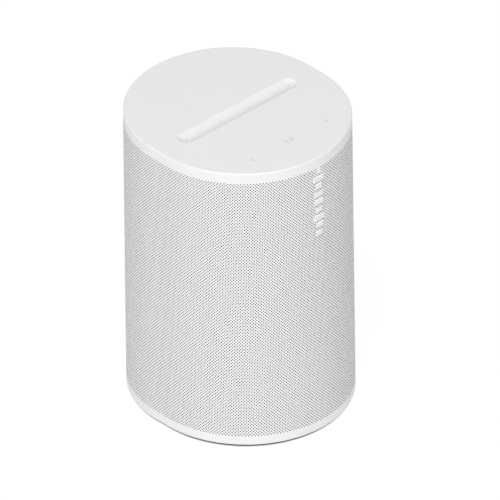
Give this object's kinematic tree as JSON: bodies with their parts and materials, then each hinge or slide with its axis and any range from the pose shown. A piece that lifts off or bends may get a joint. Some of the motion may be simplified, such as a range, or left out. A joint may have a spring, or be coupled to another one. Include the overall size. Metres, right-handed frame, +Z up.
{
  "type": "smart speaker",
  "caption": "Upright smart speaker with rounded ends, a finely perforated wall, a touch top with a volume trough, and a rear panel with a switch, a button and a socket.",
  "frame": {"origin": "middle of the footprint, on the surface that the speaker stands on", "axes": "+Z up through the touch top, -Y out of the front with the badge, +X to the viewer's right"},
  "size_m": [0.12, 0.131, 0.1825],
  "materials": {
    "shell_white": "fine matte moulded white",
    "grille_white": "matte white, finely perforated",
    "icon_grey": "flush pale grey inlay",
    "lens_clear": "clear light guide",
    "foot_rubber": "soft dull grey",
    "brass_insert": "turned brass",
    "screw_steel": "zinc plated",
    "panel_white": "smooth satin white",
    "socket_steel": "drawn nickel plated steel",
    "inlet_black": "glass filled black",
    "board_green": "solder mask over copper",
    "chip_black": "moulded black",
    "part_mixed": "moulded component bodies",
    "adhesive_foam": "thin closed cell foam",
    "enclosure_black": "ribless black moulding",
    "gasket_foam": "closed cell foam",
    "damping_wool": "loose polyester wadding",
    "basket_black": "black powder coat",
    "cone_black": "pressed fibre cone",
    "surround_rubber": "soft black rubber",
    "spider_cloth": "resin treated woven cloth",
    "coil_copper": "enamelled copper wire",
    "plate_steel": "machined and plated",
    "ferrite": "sintered ferrite",
    "dome_silk": "coated silk",
    "motor_black": "black plated steel",
    "shield_tin": "tin plated sheet",
    "sink_aluminium": "extruded and anodised",
    "pad_blue": "silicone thermal pad",
    "aerial_copper": "copper on film",
    "tape_yellow": "polyester tape over ferrite",
    "can_sleeve": "shrink sleeve over aluminium",
    "ribbon_white": "flat flexible cable",
    "lead_sleeve": "insulated wire"
  },
  "bodies": {
    "housing": {"top_cover": "shell_white", "control_icons": "icon_grey", "touch_adhesive": "adhesive_foam", "touch_board": "board_green", "touch_board_parts": "chip_black", "microphones": "shield_tin", "microphone_seals": "gasket_foam", "status_light_pipe": "lens_clear", "grille": "grille_white", "badge": "shell_white", "base": "shell_white", "foot_ring": "foot_rubber", "mount_insert": "brass_insert", "base_screws": "screw_steel", "inlet_housing": "inlet_black", "inlet_pins": "plate_steel", "io_panel": "panel_white", "usb_c_socket": "socket_steel", "io_board": "board_green", "io_switches": "chip_black", "enclosure_front": "enclosure_black", "enclosure_back": "enclosure_black", "enclosure_gasket": "gasket_foam", "enclosure_screws": "screw_steel", "damping_foam": "damping_wool", "woofer_frame": "basket_black", "woofer_gasket": "gasket_foam", "woofer_surround": "surround_rubber", "woofer_spider": "spider_cloth", "woofer_top_plate": "plate_steel", "woofer_magnet": "ferrite", "woofer_yoke": "plate_steel", "woofer_screws": "screw_steel", "left_waveguide": "enclosure_black", "left_tweeter_motor": "motor_black", "right_waveguide": "enclosure_black", "right_tweeter_motor": "motor_black", "main_board": "board_green", "main_board_chips": "chip_black", "shield_can": "shield_tin", "thermal_pad": "pad_blue", "heat_sink": "sink_aluminium", "antennas": "aerial_copper", "power_board": "board_green", "transformer": "tape_yellow", "bulk_capacitor": "can_sleeve", "power_board_parts": "part_mixed", "board_screws": "screw_steel", "touch_ribbon": "ribbon_white", "mains_leads": "lead_sleeve"},
    "privacy_switch": {"privacy_slider": "panel_white"},
    "pairing_key": {"pairing_button": "panel_white"},
    "woofer_diaphragm": {"woofer_cone": "cone_black", "woofer_dust_cap": "cone_black", "woofer_voice_coil": "coil_copper"},
    "left_dome": {"left_tweeter_dome": "dome_silk"},
    "right_dome": {"right_tweeter_dome": "dome_silk"}
  },
  "joints": [
    {"name": "microphone_switch", "type": "slide", "parent": "housing", "child": "privacy_switch", "axis": [1, 0, 0], "range_m": [0, 0.0025]},
    {"name": "pairing_press", "type": "slide", "parent": "housing", "child": "pairing_key", "axis": [0, -1, 0], "range_m": [0, 0.0006], "stiffness_N_per_m": 600},
    {"name": "woofer_travel", "type": "slide", "parent": "housing", "child": "woofer_diaphragm", "axis": [0, -1, 0], "range_m": [-0.004, 0.004], "stiffness_N_per_m": 1500, "deforming": ["woofer_surround", "woofer_spider"]},
    {"name": "left_tweeter_travel", "type": "slide", "parent": "housing", "child": "left_dome", "axis": [-0.7071, -0.7071, 0], "range_m": [-0.0003, 0.0003], "stiffness_N_per_m": 1200},
    {"name": "right_tweeter_travel", "type": "slide", "parent": "housing", "child": "right_dome", "axis": [0.7071, -0.7071, 0], "range_m": [-0.0003, 0.0003], "stiffness_N_per_m": 1200}
  ]
}
